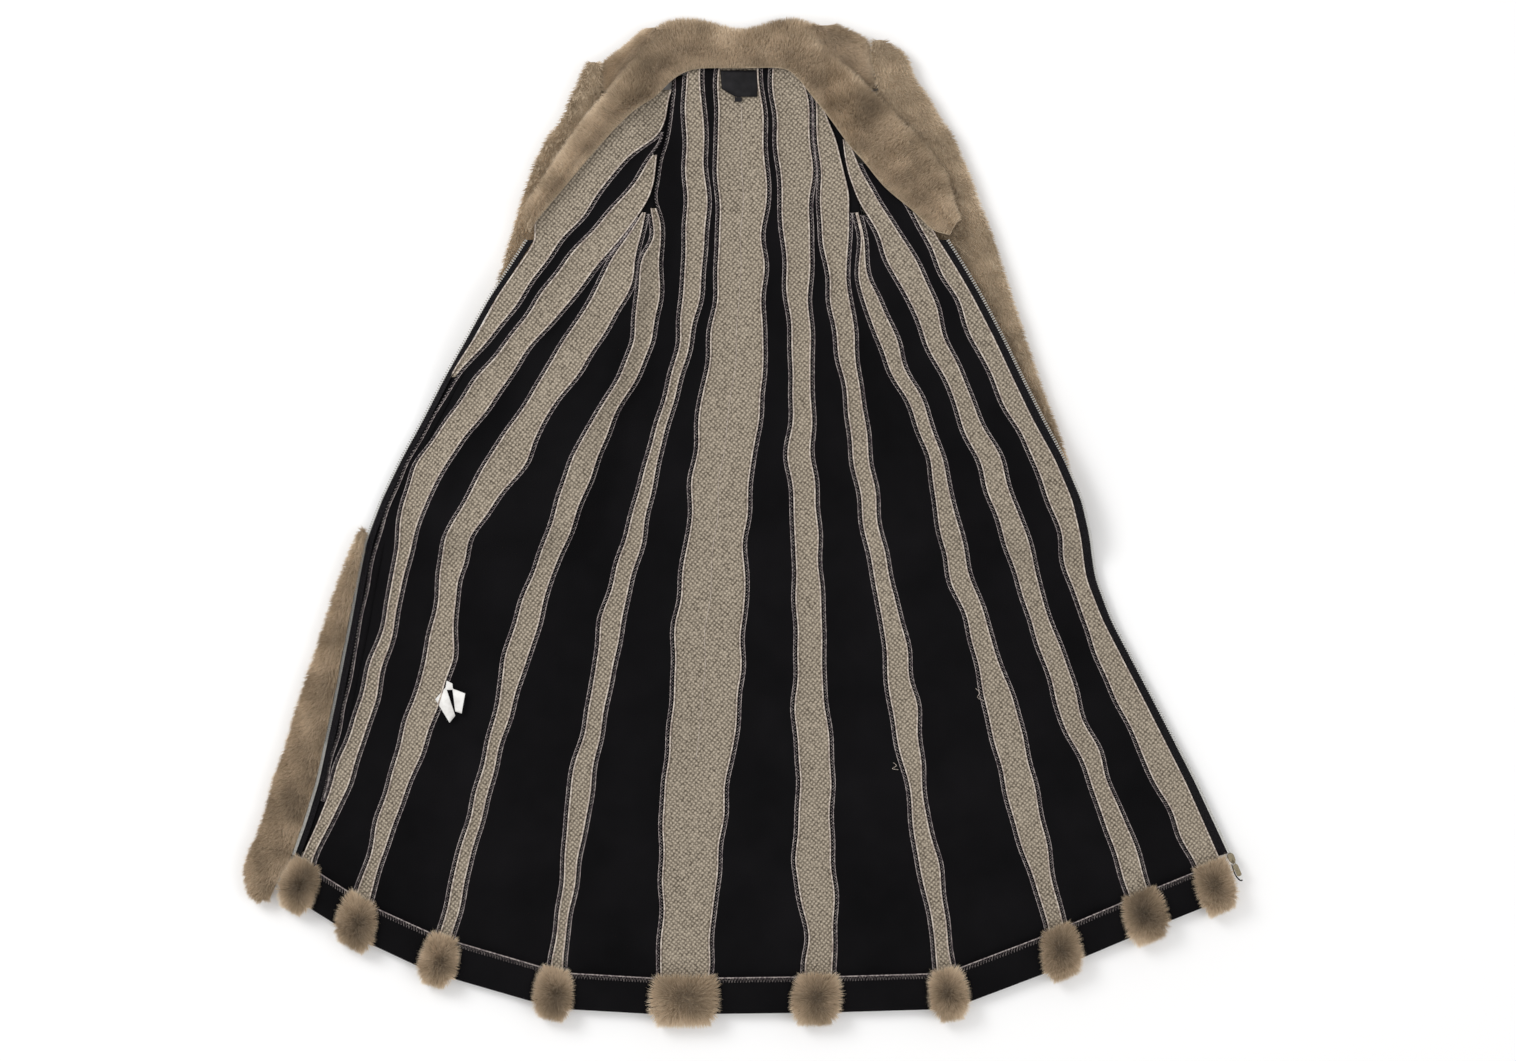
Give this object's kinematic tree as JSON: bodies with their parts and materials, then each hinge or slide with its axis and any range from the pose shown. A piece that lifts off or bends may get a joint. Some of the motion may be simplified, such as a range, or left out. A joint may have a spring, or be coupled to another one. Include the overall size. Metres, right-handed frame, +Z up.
{
  "type": "fur coat",
  "caption": "Long fur coat laid open and flat, inside up, with fur strips on knit backing between jersey panels, a turned-up hem, a fur collar and a metal zip.",
  "frame": {"origin": "middle of the coat's underside, on the surface that it lies on", "axes": "+Z up from the surface through the cloth, +Y towards the collar, +X to the right with the collar at the top"},
  "size_m": [1.3881, 1.3982, 0.054],
  "materials": {
    "fur": "plush",
    "jersey": "matte",
    "zip_tape": "matte",
    "zip_teeth": "polished",
    "slider": "antique",
    "label": "satin",
    "care_tag": "satin"
  },
  "bodies": {
    "coat": {"fur_strip_zip_left": "fur", "fur_strip_front_left_outer": "fur", "fur_strip_front_left_inner": "fur", "fur_strip_side_left": "fur", "fur_strip_back_left": "fur", "fur_strip_back_centre": "fur", "fur_strip_back_right": "fur", "fur_strip_side_right": "fur", "fur_strip_front_right_inner": "fur", "fur_strip_front_right_outer": "fur", "fur_strip_zip_right": "fur", "jersey_zip_left": "jersey", "jersey_front_left_outer": "jersey", "jersey_front_left_inner": "jersey", "jersey_side_left": "jersey", "jersey_back_left": "jersey", "jersey_back_right": "jersey", "jersey_side_right": "jersey", "jersey_front_right_inner": "jersey", "jersey_front_right_middle": "jersey", "jersey_front_right_outer": "jersey", "collar": "fur", "sleeve_left": "fur", "sleeve_right": "fur", "shoulder_left": "fur", "shoulder_right": "fur", "placket": "fur", "zip_tape_left": "zip_tape", "zip_tape_right": "zip_tape", "zip_teeth_left": "zip_teeth", "zip_teeth_right": "zip_teeth", "zip_slider": "slider", "neck_label": "label", "size_tab": "label", "care_tag": "care_tag"},
    "pull_tab": {"zip_pull_tab": "slider"}
  },
  "joints": [
    {"name": "pull_tab_hinge", "type": "hinge", "parent": "coat", "child": "pull_tab", "pos_m": [0.68239, -0.47298, 0.0186], "axis": [-0.9101, -0.4144, 0], "range_deg": [0, 120]}
  ]
}
